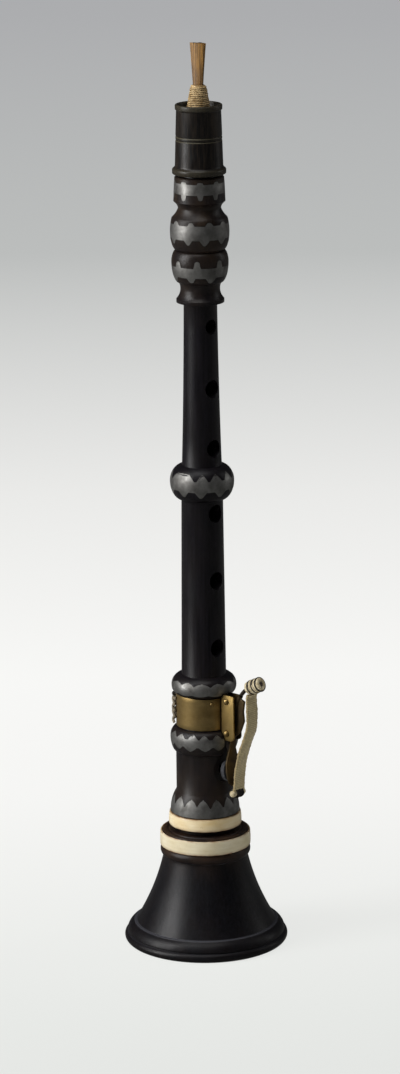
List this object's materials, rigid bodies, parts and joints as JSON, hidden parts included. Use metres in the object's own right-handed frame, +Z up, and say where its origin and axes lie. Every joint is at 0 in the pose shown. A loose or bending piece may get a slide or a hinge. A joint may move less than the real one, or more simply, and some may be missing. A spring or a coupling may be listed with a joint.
{
  "type": "bombarde",
  "caption": "Turned black wood shawm with a double reed in a horn cup, a hinged brass key with a tape pull, toothed pewter inlays and a flared bell it stands on.",
  "frame": {"origin": "middle of the bell's foot, on the axis of the bore", "axes": "+Z up along the bore towards the reed, -Y the side with the finger holes"},
  "size_m": [0.0706, 0.0706, 0.3905],
  "materials": {
    "blackwood": "oiled black wood, satin with fine pores",
    "horn": "polished dark horn",
    "bone": "aged yellow bone, satin",
    "pewter": "dull grey pewter with scratches",
    "brass": "aged brass",
    "dark_brass": "dark tarnished brass",
    "steel": "dark browned steel",
    "leather": "soft brown leather",
    "tape": "woven cream cotton tape",
    "dark_thread": "waxed dark thread",
    "thread": "waxed natural thread",
    "cane": "scraped cane"
  },
  "bodies": {
    "bell_section": {"bell": "blackwood", "bell_bone_ring": "bone"},
    "body_section": {"body": "blackwood", "foot_bone_ring": "bone", "pewter_foot_band": "pewter", "pewter_lower_bead_band": "pewter", "pewter_upper_bead_band": "pewter", "pewter_middle_band": "pewter", "pewter_lower_bulb_band": "pewter", "pewter_upper_bulb_band": "pewter", "pewter_barrel_band": "pewter", "foot_tenon_lapping": "dark_thread", "cup_tenon_lapping": "dark_thread", "key_strap": "brass", "strap_pin": "brass", "strap_lacing": "thread", "lacing_knot": "dark_thread", "key_saddle": "brass", "saddle_rivet": "brass", "hinge_pin": "brass", "leaf_spring": "steel"},
    "key": {"key_lever": "dark_brass", "key_pad": "leather", "touch_rod": "steel", "touch_wrap": "tape", "pull_tape": "tape", "tape_end_roll": "tape", "tape_tie_thread": "dark_thread"},
    "cup": {"reed_cup": "horn"},
    "reed": {"staple": "brass", "staple_lapping": "dark_thread", "reed_blade_front": "cane", "reed_blade_back": "cane", "reed_binding_core": "thread", "reed_binding_thread": "thread"}
  },
  "joints": [
    {"name": "body_pull", "type": "slide", "parent": "bell_section", "child": "body_section", "axis": [0, 0, 1], "range_m": [0, 0.03]},
    {"name": "key_hinge", "type": "hinge", "parent": "body_section", "child": "key", "pos_m": [0.0016, -0.01522, 0.0959], "axis": [0.9945, 0.1045, 0], "range_deg": [0, 9], "stiffness_Nm_per_rad": 0.004, "springref_deg": -22.92, "deforming": ["leaf_spring"]},
    {"name": "cup_pull", "type": "slide", "parent": "body_section", "child": "cup", "axis": [0, 0, 1], "range_m": [0, 0.03]},
    {"name": "reed_pull", "type": "slide", "parent": "body_section", "child": "reed", "axis": [0, 0, 1], "range_m": [0, 0.024]}
  ]
}
